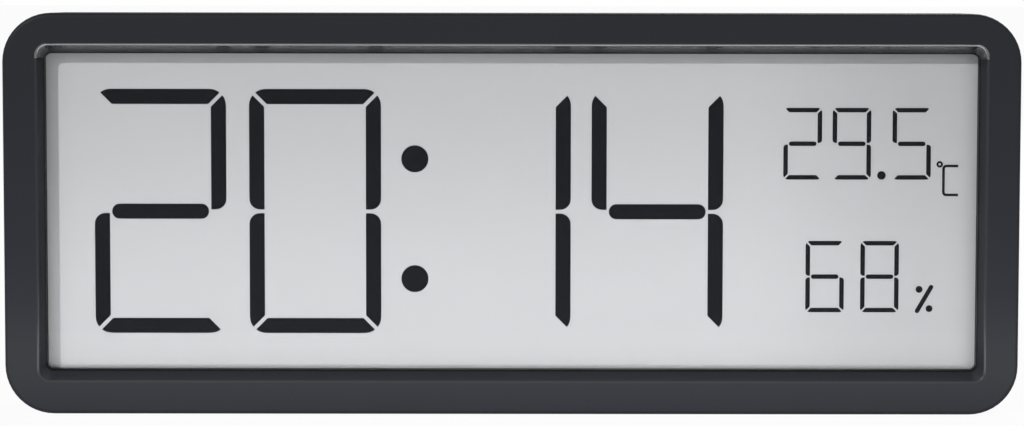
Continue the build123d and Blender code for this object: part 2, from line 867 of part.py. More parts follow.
def with_battery_bay(cover):
    """Adds the battery bay with the seat of its door, the hook slots and the scoop for the thumb tab."""
    bay_outside = (bay_left - bay_wall, bay_right + bay_wall)
    cover += block(
        *bay_outside, bay_floor_y - bay_wall, cover_inner_y, bay_bottom - bay_wall, bay_top + bay_wall
    )
    pad = door_gap + pad_margin
    pad_edges = (door_left - pad, door_right + pad)
    cover += block(*pad_edges, seat_y - pad_thickness, cover_inner_y, door_bottom - pad, door_top + pad)
    scoop_half = thumb_tab_width / 2 + scoop_margin
    scoop_low = door_bottom - thumb_tab_height - scoop_margin
    scoop_pad = scoop_half + pad_margin
    cover += block(
        bay_mid_x - scoop_pad,
        bay_mid_x + scoop_pad,
        seat_y - pad_thickness,
        cover_inner_y,
        scoop_low - pad_margin,
        door_bottom,
    )
    cover -= block(bay_left, bay_right, bay_floor_y, back_y, bay_bottom, bay_top)
    seat = rounded_panel(
        door_left - door_gap,
        door_right + door_gap,
        door_bottom - door_gap,
        door_top + door_gap,
        door_gap,
    )
    cover -= layer(seat, seat_y, back_y)
    scoop_floor_y = back_y - door_sink - thumb_tab_thickness - scoop_gap
    scoop = rounded_panel(bay_mid_x - scoop_half, bay_mid_x + scoop_half, scoop_low, bay_bottom, scoop_margin)
    cover -= layer(scoop, scoop_floor_y, back_y)
    sweep_radius = hook_length + 2 * nose_radius + hook_clearance
    slot_roof_y = nose_y + hook_thickness / 2 + hook_clearance / 2
    for x in hook_xs:
        half = hook_width / 2 + hook_clearance
        slot_low_y = nose_y - sweep_radius
        cover -= block(x - half, x + half, slot_low_y, slot_roof_y, bay_top, nose_z + sweep_radius)
    rib_edges = (bay_left + contact_width, bay_right - contact_width)
    rib_y = (bay_floor_y, bay_floor_y + rib_height)
    cover += block(*rib_edges, *rib_y, bay_z - rib_width / 2, bay_z + rib_width / 2)
    for z in cell_zs:
        slot_half = tail_half_width + tail_clearance
        slot_y = (tail_y - tail_clearance, tail_y + contact_thickness + tail_clearance)
        cover -= block(bay_left - bay_wall, bay_left, *slot_y, z - slot_half, z + slot_half)
    return cover


def with_keyholes(cover):
    """Adds the two keyholes, each with a closed cup behind it."""
    z = case_height - keyhole_below_top
    plate_y = back_y - keyhole_plate
    cup_half = keyhole_radius + cup_clearance
    cup_low = z - cup_half
    cup_high = z + keyhole_rise + keyhole_radius
    for side in (-1, 1):
        x = side * keyhole_spacing / 2
        outer = cup_half + cup_wall
        cup_y = cover_inner_y - cup_depth
        cup_z = (cup_low - cup_wall, cup_high + cup_wall)
        cover += block(x - outer, x + outer, cup_y - cup_wall, cover_inner_y, *cup_z)
        cover -= block(x - cup_half, x + cup_half, cup_y, plate_y, cup_low, cup_high)
        hole = Pos(x, z) * Circle(keyhole_radius)
        hole += panel(x - keyhole_slot_radius, x + keyhole_slot_radius, z, z + keyhole_rise)
        hole += Pos(x, z + keyhole_rise) * Circle(keyhole_slot_radius)
        cover -= layer(hole, plate_y, back_y)
    return cover


def with_button_tray(cover):
    """Adds the shallow tray with the button holes, and the vents above it."""
    tray_left = button_xs[-1] - button_width / 2 - tray_margin
    tray_right = button_xs[0] + button_width / 2 + tray_margin
    tray_half = button_height / 2 + tray_margin
    tray = SlotOverall(tray_right - tray_left, 2 * tray_half)
    tray_place = Pos((tray_left + tray_right) / 2, button_z)
    cover -= layer(tray_place * tray, back_y - tray_depth, back_y)
    hole = SlotOverall(button_width + 2 * button_clearance, button_height + 2 * button_clearance)
    for x in button_xs:
        cover -= layer(Pos(x, button_z) * hole, cover_inner_y, back_y)
    for i in range(vent_count):
        z = vent_z + (i - (vent_count - 1) / 2) * vent_pitch
        cover -= layer(Pos(vent_x, z) * SlotOverall(vent_length, vent_width), cover_inner_y, back_y)
    return cover


def with_screw_tubes(cover):
    """Adds the tubes through which the case screws reach the front frame."""
    for side in (-1, 1):
        for z in boss_zs:
            x = side * boss_x
            cover += rod(x, z, boss_radius, tube_front_y, cover_inner_y)
            web_end_x = side * (case_width / 2 - wall / 2)
            cover += block(x, web_end_x, seam_y + lip_depth, cover_inner_y, z - wall / 2, z + wall / 2)
            cover -= rod(x, z, screw_head_radius + counterbore_clearance, shelf_y, back_y)
            cover -= rod(x, z, screw_radius + screw_pass_clearance, tube_front_y, shelf_y)
    return cover


def rear_cover():
    """The rear half of the case with everything moulded into it."""
    cover = cover_shell()
    cover = with_stand_recess(cover)
    cover = with_battery_bay(cover)
    cover = with_keyholes(cover)
    cover = with_button_tray(cover)
    return with_screw_tubes(cover)


def battery_door():
    """The battery door: a plate with a round upper edge, two hooks above it and a thumb tab below."""
    plate = block(door_left, door_right, door_y, door_y + door_thickness, door_bottom, nose_z)
    lower_corners = plate.edges().filter_by(Axis.Y).group_by(Axis.Z)[0]
    plate = fillet(lower_corners, door_corner)
    plate += cross_rod(nose_y, nose_z, nose_radius, door_left, door_right)
    hook_y = (nose_y - hook_thickness / 2, nose_y + hook_thickness / 2)
    for x in hook_xs:
        plate += block(x - hook_width / 2, x + hook_width / 2, *hook_y, nose_z, door_top + hook_length)
    tab_y = (door_y + door_thickness - thumb_tab_thickness, door_y + door_thickness)
    tab_low = door_bottom - thumb_tab_height
    tab_half = thumb_tab_width / 2
    plate += block(bay_mid_x - tab_half, bay_mid_x + tab_half, *tab_y, tab_low, door_bottom)
    for i in range(grip_count):
        groove = SlotOverall(thumb_tab_width, grip_width)
        place = Pos(bay_mid_x, door_bottom + (i + 2) * grip_pitch)
        plate -= layer(place * groove, door_y + door_thickness - grip_depth, door_y + door_thickness)
    return plate


def battery_cell(nub_x, flat_x, z):
    """One cell, with its nub at one end."""
    way = 1 if nub_x > flat_x else -1
    shoulder_x = nub_x - way * nub_length
    body = cross_rod(cell_axis_y, z, cell_diameter / 2, flat_x, shoulder_x)
    body = chamfer(body.edges().filter_by(GeomType.CIRCLE), cell_edge_chamfer)
    return body + cross_rod(cell_axis_y, z, nub_radius, shoulder_x, nub_x)


def cell_upper():
    """The upper cell, with its nub to the right."""
    nub_x = bay_right - contact_thickness - dimple_height
    return battery_cell(nub_x, bay_left + contact_thickness + spring_length, cell_zs[0])


def cell_lower():
    """The lower cell, with its nub to the left."""
    nub_x = bay_left + contact_thickness + dimple_height
    return battery_cell(nub_x, bay_right - contact_thickness - spring_length, cell_zs[1])


def contact_plate(x_wall, way, z_from, z_to):
    """A contact plate against an end wall of the bay."""
    low_y = cell_axis_y - contact_height / 2
    return block(x_wall, x_wall + way * contact_thickness, low_y, low_y + contact_height, z_from, z_to)


def dimple(x_wall, way, z):
    """The raised disc that meets a nub."""
    face_x = x_wall + way * contact_thickness
    return cross_rod(cell_axis_y, z, dimple_radius, face_x, face_x + way * dimple_height)


def tail(z):
    """The strip that leads a contact plate through the end wall."""
    tail_z = (z - tail_half_width, z + tail_half_width)
    return block(bay_left - tail_length, bay_left, tail_y, tail_y + contact_thickness, *tail_z)


def negative_plate():
    """The plate behind the left spring."""
    half = contact_width / 2
    return contact_plate(bay_left, 1, cell_zs[0] - half, cell_zs[0] + half) + tail(cell_zs[0])


def positive_plate():
    """The plate that meets the left nub."""
    half = contact_width / 2
    plate = contact_plate(bay_left, 1, cell_zs[1] - half, cell_zs[1] + half)
    return plate + dimple(bay_left, 1, cell_zs[1]) + tail(cell_zs[1])


def bridge_plate():
    """The plate that joins the two cells at the right."""
    half = contact_width / 2
    plate = contact_plate(bay_right, -1, cell_zs[1] - half, cell_zs[0] + half)
    return plate + dimple(bay_right, -1, cell_zs[0])


def tangent_pair(start, start_way, end, end_way):
    """Two arcs from start to end that leave and arrive along the given directions."""
    across = end - start
    ways = start_way + end_way
    spread = 2 * (1 - start_way.dot(end_way))
    along = across.dot(ways)
    reach = (math.sqrt(along**2 + spread * across.dot(across)) - along) / spread
    first = start + start_way * reach
    second = end - end_way * reach
    joint = (first + second) * 0.5
    return [TangentArc(start, joint, tangent=start_way), TangentArc(joint, end, tangent=second - first)]


def coil(x_base, x_tip, z):
    """A tapered spring along X, from a plate to the flat end of a cell."""
    steps = 4 * spring_turns
    way = 1 if x_tip > x_base else -1
    rise = (abs(x_tip - x_base) - 2 * spring_wire_radius) / steps
    shrink = (spring_tip_radius - spring_base_radius) / steps
    points = []
    ways = []
    for i in range(steps + 1):
        angle = i * math.pi / 2
        radius = spring_base_radius + i * shrink
        x = x_base + way * (spring_wire_radius + i * rise)
        points.append(Vector(x, cell_axis_y + radius * math.cos(angle), z + radius * math.sin(angle)))
        turn = radius * math.pi / 2
        out_y = shrink * math.cos(angle) - turn * math.sin(angle)
        out_z = shrink * math.sin(angle) + turn * math.cos(angle)
        ways.append(Vector(way * rise, out_y, out_z).normalized())
    arcs = []
    for i in range(steps):
        arcs += tangent_pair(points[i], ways[i], points[i + 1], ways[i + 1])
    turn_apart = min((points[i + 4] - points[i]).length for i in range(steps - 3))
    print(f"least gap between spring turns: {turn_apart - 2 * spring_wire_radius:.2f} mm")
    section = Plane(origin=points[0], z_dir=ways[0]) * Circle(spring_wire_radius)
    return sweep(section, path=Wire(arcs))


def contact_springs():
    """The two springs that press the cells against their nubs."""
    left = coil(bay_left + contact_thickness, bay_left + contact_thickness + spring_length, cell_zs[0])
    right = coil(bay_right - contact_thickness, bay_right - contact_thickness - spring_length, cell_zs[1])
    return Part() + [left, right]


def battery_lead(z_tail, end):
    """A lead from a contact's tail to the board: along X, then down, then onto the board."""
    end_x, end_z = end
    run_y = tail_y + contact_thickness + lead_radius
    start = (bay_left - bay_wall - tail_clearance, run_y, z_tail)
    points = [start, (end_x, run_y, z_tail), (end_x, run_y, end_z), (end_x, board_back_y, end_z)]
    path = FilletPolyline(*points, radius=lead_bend)
    section = Plane(origin=start, z_dir=(-1, 0, 0)) * Circle(lead_radius)
    return sweep(section, path=path)


def stand():
    """The fold-out stand: a plate with a hinge barrel, two pins and a heel that stops it when open."""
    plate = block(-stand_half, stand_half, pivot_y, pivot_y + stand_thickness, stand_free_z, stand_pivot_z)
    lower_corners = plate.edges().filter_by(Axis.Y).group_by(Axis.Z)[0]
    plate = fillet(lower_corners, stand_corner)
    face_y = pivot_y + stand_thickness
    inside = rounded_panel(
        stand_panel_border - stand_half,
        stand_half - stand_panel_border,
        stand_free_z + 2 * stand_panel_border,
        stand_pivot_z - stand_panel_border,
        stand_corner / 2,
    )
    plate -= layer(inside, face_y - stand_panel_depth, face_y)
    plate += cross_rod(pivot_y, stand_pivot_z, stand_thickness, -stand_half, stand_half)
    heel_half = heel_width / 2
    plate += block(
        -heel_half,
        heel_half,
        pivot_y - heel_back,
        pivot_y + heel_front,
        stand_pivot_z,
        stand_pivot_z + heel_height,
    )
    pin_end = recess_half + pin_length - stand_side_gap / 2
    return plate + cross_rod(pivot_y, stand_pivot_z, pin_radius, -pin_end, pin_end)


pieces = {
    "front_frame": front_frame(),
    "display_window": display_window(),
    "window_tape": window_tape(),
    "display_gasket": display_gasket(),
    "front_polarizer": front_polarizer(),
    "front_glass": front_glass(),
    "cell_seal": cell_seal(),
    "rear_glass": rear_glass(),
    "reflector": reflector(),
    "time_digits": time_digits(),
    "time_colon": time_colon(),
    "temperature_digits": temperature_digits(),
    "temperature_unit": temperature_unit(),
    "humidity_digits": humidity_digits(),
    "humidity_unit": humidity_unit(),
    "carrier": carrier(),
    "carrier_screws": carrier_screws(),
    "contact_strip": contact_strip(),
    "main_board": main_board(),
    "board_screws": board_screws(),
    "controller_blob": controller_blob(),
    "quartz_crystal": quartz_crystal(),
    "humidity_sensor": humidity_sensor(),
    "thermistor": thermistor(),
    "chip_parts": chip_parts(),
    "switch_bodies": switch_bodies(),
    "rear_cover": rear_cover(),
    "case_screws": case_screws(),
    "battery_door": battery_door(),
    "cell_upper": cell_upper(),
    "cell_lower": cell_lower(),
    "negative_plate": negative_plate(),
    "positive_plate": positive_plate(),
    "bridge_plate": bridge_plate(),
    "contact_springs": contact_springs(),
    "negative_lead": battery_lead(cell_zs[0], lead_ends[0]),
    "positive_lead": battery_lead(cell_zs[1], lead_ends[1]),
    "stand": stand(),
}
for name, x in zip(button_names, button_xs):
    pieces[f"{name}_button"] = button(x)
    pieces[f"{name}_plunger"] = plunger(x)

for name, piece in pieces.items():
    export_step(piece, f"parts/{name}.step")
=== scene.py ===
import json
import math

import bmesh
import bpy
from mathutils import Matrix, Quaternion, Vector


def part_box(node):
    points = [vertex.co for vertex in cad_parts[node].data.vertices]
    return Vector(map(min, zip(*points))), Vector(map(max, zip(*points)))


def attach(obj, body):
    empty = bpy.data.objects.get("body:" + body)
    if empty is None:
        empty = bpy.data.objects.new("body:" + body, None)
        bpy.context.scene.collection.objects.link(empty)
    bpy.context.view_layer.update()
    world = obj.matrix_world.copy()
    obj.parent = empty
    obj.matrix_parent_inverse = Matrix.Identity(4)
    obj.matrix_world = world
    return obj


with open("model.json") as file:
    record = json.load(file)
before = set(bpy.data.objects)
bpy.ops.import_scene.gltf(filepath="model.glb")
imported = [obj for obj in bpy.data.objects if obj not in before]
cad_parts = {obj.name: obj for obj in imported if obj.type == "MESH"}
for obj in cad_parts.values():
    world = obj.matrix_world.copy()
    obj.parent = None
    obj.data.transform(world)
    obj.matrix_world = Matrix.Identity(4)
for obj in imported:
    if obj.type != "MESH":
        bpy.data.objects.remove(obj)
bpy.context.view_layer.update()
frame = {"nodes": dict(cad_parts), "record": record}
nodes = frame["nodes"]

# Sizes are in metres. The front of the clock faces -Y and +Z is up.
MM = 0.001
FRONT_Y = -12.0 * MM
LAND_Y = -9.5 * MM
WINDOW_HALF = 98.2 * MM
WINDOW_LOW = 9.25 * MM
WINDOW_TOP = 75.94 * MM
PRINT_OVERLAP = 0.04 * MM

# Bevel around the window: its widths, with a spare one that takes in its rounded edge
BEVEL_SIDE = 1.35 * MM
BEVEL_LOW = 2.2 * MM
BEVEL_TOP = 1.8 * MM
BEVEL_SPARE = 0.5 * MM

# Depths behind the front face where the frame's finishes start and fade
BEVEL_START = 0.01 * MM
# The outsides' painted shade and matt finish start this far behind the front face
OUTSIDE_START = 0.6 * MM
POLISH_FULL = 0.3 * MM
POLISH_FADED = 1.6 * MM

# How far before the land the painted shade on the wall starts, and below the window's top the upper bevel
WALL_LEAD = 0.4 * MM
UPPER_REACH = 1.0 * MM

# Case screws and the cross in each head
SCREW_X = 102.25 * MM
SCREW_Z = (13.0 * MM, 71.44 * MM)
CROSS_HALF = 0.22 * MM
CROSS_REACH = 0.95 * MM

# Where painted shade darkens the display's face towards the right
PAINTED_SHADE_FROM = 45.0 * MM
PAINTED_SHADE_TO = 88.0 * MM

# Cell jacket: its bare ends, and where its second colour starts
CELL_FLAT_END = 0.9 * MM
CELL_NUB_END = 1.9 * MM
CELL_BAND = 31.0 * MM

# Raised marks on the buttons
MARK_DEPTH = 0.2 * MM
MARK_RISE = 0.08 * MM
MARK_SLOPE = 0.12 * MM
MARK_SMOOTH = math.radians(30.0)

# Repeats per metre of the noise in the plastic and the metal
CLOUD_SCALE = 60.0
GRAIN_SCALE = 4200.0
DRAWN_SCALE = 900.0

# Colours of the case, the screws and the studio
BLACK = (0.0165, 0.0174, 0.0222)
CHARCOAL = (0.0200, 0.0210, 0.0262)
# Near-black painted shade for the wall inside the window
PAINTED_WALL_SHADE = (0.003, 0.003, 0.003)
STEEL_DARK = (0.48, 0.48, 0.49)
STEEL_LIGHT = (0.60, 0.60, 0.61)
WHITE = (1.0, 1.0, 1.0)
SKY = (0.98, 0.99, 1.0)

# Camera, from the photograph. Blender takes the sensor in millimetres.
CAMERA_AIM = (0.06 * MM, FRONT_Y, 42.60 * MM)
CAMERA_DISTANCE = 640.0 * MM
CAMERA_RISE = math.radians(4.05)
CAMERA_ROLL = math.radians(0.073)
CAMERA_NEAR = 0.01
CAMERA_FAR = 200.0
VIEW_WIDTH = 214.97 * MM
SENSOR = 36.0

# Lamps: where each stands, what it is aimed at, its size and its strength
ORIGIN = (0.0, 0.0, 0.0)
WORLD_LEVEL = 0.06
KEY_FROM = (-0.56, -1.0, 0.53)
KEY_ANGLE = math.radians(1.5)
KEY_LEVEL = 1.32
STRIP_FROM = (0.0, -0.060, 0.002)
STRIP_AT = (0.0, 0.0, 0.040)
STRIP_SIZE = (0.3, 0.02)
STRIP_LEVEL = 0.108
FILL_FROM = (0.15, -1.0, 0.1)
FILL_ANGLE = math.radians(60.0)
FILL_LEVEL = 0.75
BACK_FROM = (0.5, 1.1, 0.9)
BACK_AT = (0.0, 0.0, 0.04)
BACK_SIZE = (1.0, 0.8)
BACK_LEVEL = 14.0

# Floor
FLOOR_SIZE = 60.0
FLOOR_DROP = 0.05 * MM
FLOOR_GREY = (0.88, 0.88, 0.88)
FLOOR_WHITENESS = 0.95


class Wire:
    """A shader socket that takes part in sums, each of which adds its own node."""

    def __init__(self, socket):
        self.socket = socket

    def node(self, kind, settings=None, inputs=None, output=0):
        """Adds a node beside this socket, sets it up, then fills its sockets with values or links."""
        tree = self.socket.id_data
        made = tree.nodes.new(kind)
        for key, value in (settings or {}).items():
            setattr(made, key, value)
        for key, value in (inputs or {}).items():
            if isinstance(value, Wire):
                tree.links.new(value.socket, made.inputs[key])
            else:
                made.inputs[key].default_value = value
        return Wire(made.outputs[output]) if made.outputs else None

    def maths(self, operation, first, second):
        """A Math node on two values."""
        return self.node("ShaderNodeMath", {"operation": operation}, {0: first, 1: second})

    def __add__(self, other):
        return self.maths("ADD", self, other)

    def __radd__(self, other):
        return self.maths("ADD", other, self)

    def __sub__(self, other):
        return self.maths("SUBTRACT", self, other)

    def __rsub__(self, other):
        return self.maths("SUBTRACT", other, self)

    def __mul__(self, other):
        return self.maths("MULTIPLY", self, other)

    def __rmul__(self, other):
        return self.maths("MULTIPLY", other, self)

    def above(self, limit):
        """One where the value is above a limit, else zero."""
        return self.maths("GREATER_THAN", self, limit)

    def larger(self, other):
        """The larger of this value and another."""
        return self.maths("MAXIMUM", self, other)

    def off(self, middle):
        """How far the value is from a middle, to either side."""
        return self.maths("ABSOLUTE", self - middle, 0.0)

    def within(self, middle, half):
        """One where the value is within half a width of a middle, else zero."""
        return 1 - self.off(middle).above(half)

    def axis(self, name):
        """One coordinate of a place."""
        return self.node("ShaderNodeSeparateXYZ", None, {0: self}, name)

    def noise(self, scale, detail=2.0):
        """Soft random values between zero and one."""
        return self.node("ShaderNodeTexNoise", None, {"Vector": self, "Scale": scale, "Detail": detail})

    def stretched(self, x, y, z):
        """The place with its axes scaled, for patterns that run one way."""
        return self.node("ShaderNodeMapping", None, {"Vector": self, "Scale": (x, y, z)})

    def blend(self, first, second):
        """A colour between two colours, by this value."""
        settings = {"data_type": "RGBA"}
        inputs = {0: self, 6: colour_of(first), 7: colour_of(second)}
        return self.node("ShaderNodeMix", settings, inputs, 2)

    def bump(self, depth, strength=1.0):
        """A surface normal from this height."""
        return self.node("ShaderNodeBump", None, {"Height": self, "Distance": depth, "Strength": strength})


def colour_of(value):
    """A colour that a socket takes: a wire as it is, or three numbers with full alpha."""
    return value if isinstance(value, Wire) else (*value, 1.0)


def new_finish(name):
    """An empty material and the wire of its object coordinates."""
    material = bpy.data.materials.new(name)
    material.use_nodes = True
    tree = material.node_tree
    tree.nodes.clear()
    return material, Wire(tree.nodes.new("ShaderNodeTexCoord").outputs["Object"])


def surface(place, **inputs):
    """A principled shader on the material's output."""
    named = {key.replace("_", " "): value for key, value in inputs.items()}
    shader = place.node("ShaderNodeBsdfPrincipled", None, named)
    place.node("ShaderNodeOutputMaterial", None, {"Surface": shader})


def plastic_skin(place, dark, light):
    """The clouding, the fine spark-eroded grain and the colour of moulded plastic."""
    cloud = place.noise(CLOUD_SCALE, 3.0)
    grain = place.noise(GRAIN_SCALE, 1.0)
    return cloud, grain, (0.7 * cloud + 0.3 * grain).blend(dark, light)


def moulded(name, dark, light, roughness, specular=0.5, depth=0.02):
    """Moulded plastic with a fine grain of the given depth, faint clouding and uneven gloss."""
    material, place = new_finish(name)
    cloud, grain, colour = plastic_skin(place, dark, light)
    surface(
        place,
        Base_Color=colour,
        Roughness=roughness - 0.05 + 0.1 * cloud,
        Specular_IOR_Level=specular,
        Normal=grain.bump(depth * MM, 0.35),
    )
    return material


def metal(name, dark, light, roughness, streak):
    """Bare metal with fine drawing marks along one axis."""
    material, place = new_finish(name)
    marks = place.stretched(*streak).noise(DRAWN_SCALE, 4.0)
    surface(
        place,
        Base_Color=marks.blend(dark, light),
        Metallic=1.0,
        Roughness=roughness - 0.08 + 0.16 * marks,
        Normal=marks.bump(0.004 * MM, 0.3),
    )
    return material


def rubbery(name, dark, light, pores):
    """Soft foam or rubber with open pores."""
    material, place = new_finish(name)
    cells = place.node("ShaderNodeTexVoronoi", None, {"Vector": place, "Scale": pores})
    surface(
        place,
        Base_Color=cells.blend(dark, light),
        Roughness=0.75 + 0.2 * cells,
        Specular_IOR_Level=0.25,
        Normal=cells.bump(0.05 * MM, 0.5),
    )
    return material


def in_window(place, side, low, top):
    """One inside the window's outline, grown at the sides, below and above, else zero."""
    z_from = WINDOW_LOW - low
    z_to = WINDOW_TOP + top
    across = place.axis("X").within(0.0, WINDOW_HALF + side)
    return across * place.axis("Z").within((z_from + z_to) / 2, (z_to - z_from) / 2)


def bevelled_frame():
    """The front's moulding: a satin face, a bevel polished at its edge, painted shade on the wall inside the
    window, and matt outsides darkened by painted shade.
    """
    material, place = new_finish("bevelled_frame")
    cloud, grain, plastic = plastic_skin(place, BLACK, CHARCOAL)
    depth = place.axis("Y")
    opening = in_window(place, BEVEL_SIDE + BEVEL_SPARE, BEVEL_LOW + BEVEL_SPARE, BEVEL_TOP + BEVEL_SPARE)
    bevel = opening * depth.above(FRONT_Y + BEVEL_START)
    # Painted shade: the wall inside the window and the last of the bevel before it
    wall = opening * depth.above(LAND_Y - WALL_LEAD)
    # Painted shade: the outsides behind the face are coloured part of the way to near-black, and made matt
    outside = (1 - opening) * depth.above(FRONT_Y + OUTSIDE_START)
    upper = place.axis("Z").above(WINDOW_TOP - UPPER_REACH)
    reach = {"Value": depth, 1: FRONT_Y + POLISH_FULL, 2: FRONT_Y + POLISH_FADED, 3: 1.0, 4: 0.2}
    polish = place.node("ShaderNodeMapRange", None, reach)
    surface(
        place,
        # Base colour with painted shade: near-black on the wall, 60 % of the way to it on the outsides
        Base_Color=(0.6 * outside + wall).blend(plastic, PAINTED_WALL_SHADE),
        Roughness=0.31 + 0.1 * cloud + 0.55 * outside,
        Specular_IOR_Level=0.1,
        Coat_Weight=bevel * (1 - wall) * polish * (0.1 + 0.9 * upper),
        Coat_Roughness=0.12,
        Coat_IOR=2.1,
        Normal=((1 - bevel) * grain).bump(0.02 * MM, 0.35),
    )
    return material


def see_through(place, tint, reflect, haze):
    """A clear sheet: light passes straight through, and its outer face reflects at a slant."""
    smear = place.noise(35.0, 2.0)
    back = place.node("ShaderNodeNewGeometry", None, None, "Backfacing")
    slant = place.node("ShaderNodeFresnel", None, {"IOR": 1.46})
    clear = place.node("ShaderNodeBsdfTransparent", None, {"Color": (tint, tint, tint, 1.0)})
    gloss = place.node("ShaderNodeBsdfGlossy", None, {"Roughness": haze + 0.02 * smear})
    share = (reflect * (slant - 0.032) * (1 - back)).larger(0.0)
    return place.node("ShaderNodeMixShader", None, {0: share, 1: clear, 2: gloss})


def clear_sheet(name, tint, reflect, haze):
    """A plain clear sheet."""
    material, place = new_finish(name)
    place.node("ShaderNodeOutputMaterial", None, {"Surface": see_through(place, tint, reflect, haze)})
    return material


def printed_window():
    """The clear window, with a black border printed where the frame covers it."""
    material, place = new_finish("clear_plastic")
    cloud = place.noise(120.0, 2.0)
    ink = cloud.blend((0.004, 0.004, 0.004), (0.007, 0.007, 0.007))
    border = place.node("ShaderNodeBsdfPrincipled", None, {"Base Color": ink, "Roughness": 0.5})
    opening = in_window(place, PRINT_OVERLAP, PRINT_OVERLAP, PRINT_OVERLAP)
    clear = see_through(place, 0.988, 0.8, 0.03)
    mixed = place.node("ShaderNodeMixShader", None, {0: opening, 1: border, 2: clear})
    place.node("ShaderNodeOutputMaterial", None, {"Surface": mixed})
    return material


def cross_heads():
    """Steel screws with a cross in each head, its recess painted dark as shade."""
    material, place = new_finish("cross_heads")
    marks = place.stretched(1.0, 0.08, 1.0).noise(DRAWN_SCALE, 4.0)
    across = place.axis("X").off(0.0).off(SCREW_X)
    along = place.axis("Z").off(sum(SCREW_Z) / 2).off((SCREW_Z[1] - SCREW_Z[0]) / 2)
    upright = (1 - across.above(CROSS_HALF)) * (1 - along.above(CROSS_REACH))
    level = (1 - along.above(CROSS_HALF)) * (1 - across.above(CROSS_REACH))
    cross = upright.larger(level)
    steel = marks.blend(STEEL_DARK, STEEL_LIGHT)
    surface(
        place,
        # Painted shade: the cross recess is near-black and not metallic
        Base_Color=cross.blend(steel, (0.03, 0.03, 0.03)),
        Metallic=1 - cross,
        Roughness=0.26 + 0.16 * marks + 0.3 * cross,
        Normal=(1 - cross).bump(0.3 * MM, 0.8),
    )
    return material


def display_face():
    """The reflecting face of the display, pale grey with a faint grain, and painted shade darkening it
    towards the right.
    """
    material, place = new_finish("display_grey")
    grain = place.noise(1800.0, 2.0)
    cloud = place.noise(12.0, 2.0)
    reach = {"Value": place.axis("X"), 1: PAINTED_SHADE_FROM, 2: PAINTED_SHADE_TO}
    painted_shade = place.node("ShaderNodeMapRange", {"interpolation_type": "SMOOTHSTEP"}, reach)
    grey = (0.5 * grain + 0.5 * cloud).blend((0.606, 0.613, 0.632), (0.630, 0.637, 0.656))
    surface(
        place,
        # Painted shade: the grey goes darker towards the right edge of the display
        Base_Color=painted_shade.blend(grey, (0.528, 0.534, 0.551)),
        Roughness=0.55 + 0.1 * grain,
        Specular_IOR_Level=0.0,
    )
    return material


def lit_area():
    """A lit area of the display: nearly black, a touch lighter in places."""
    material, place = new_finish("lit_segment")
    cloud = place.noise(90.0, 2.0)
    surface(
        place,
        Base_Color=cloud.blend((0.0135, 0.0140, 0.0170), (0.0165, 0.0170, 0.0205)),
        Roughness=0.5 + 0.1 * cloud,
        Specular_IOR_Level=0.0,
    )
    return material


def board_laminate():
    """Green solder mask over copper tracks."""
    material, place = new_finish("board_laminate")
    settings = {"offset": 0.5, "squash": 1.0}
    sizes = {"Scale": 260.0, "Mortar Size": 0.012, "Brick Width": 3.2, "Row Height": 0.35}
    flat = place.node("ShaderNodeMapping", None, {"Vector": place, "Rotation": (math.pi / 2, 0.0, 0.0)})
    tracks = place.node("ShaderNodeTexBrick", settings, {"Vector": flat, **sizes}, "Fac")
    cloud = place.noise(200.0, 2.0)
    green = cloud.blend((0.012, 0.105, 0.045), (0.018, 0.135, 0.060))
    surface(
        place,
        Base_Color=tracks.blend(green, (0.030, 0.200, 0.085)),
        Roughness=0.3 + 0.1 * cloud,
        Normal=tracks.bump(0.03 * MM, 0.6),
    )
    return material


def cell_jacket():
    """A printed cell jacket in two plain colours, with bare metal ends."""
    material, place = new_finish("cell_jacket")
    low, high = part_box("cell_upper")
    x = place.axis("X")
    jacket = x.above(low.x + CELL_FLAT_END) * (1.0 - x.above(high.x - CELL_NUB_END))
    cloud = place.noise(160.0, 3.0)
    dark = cloud.blend((0.014, 0.045, 0.110), (0.020, 0.058, 0.135))
    bright = cloud.blend((0.56, 0.57, 0.58), (0.66, 0.67, 0.68))
    paint = x.above(low.x + CELL_BAND).blend(dark, bright)
    surface(
        place,
        Base_Color=jacket.blend((0.62, 0.62, 0.63), paint),
        Metallic=1.0 - 0.75 * jacket,
        Roughness=0.28 + 0.12 * cloud,
    )
    return material


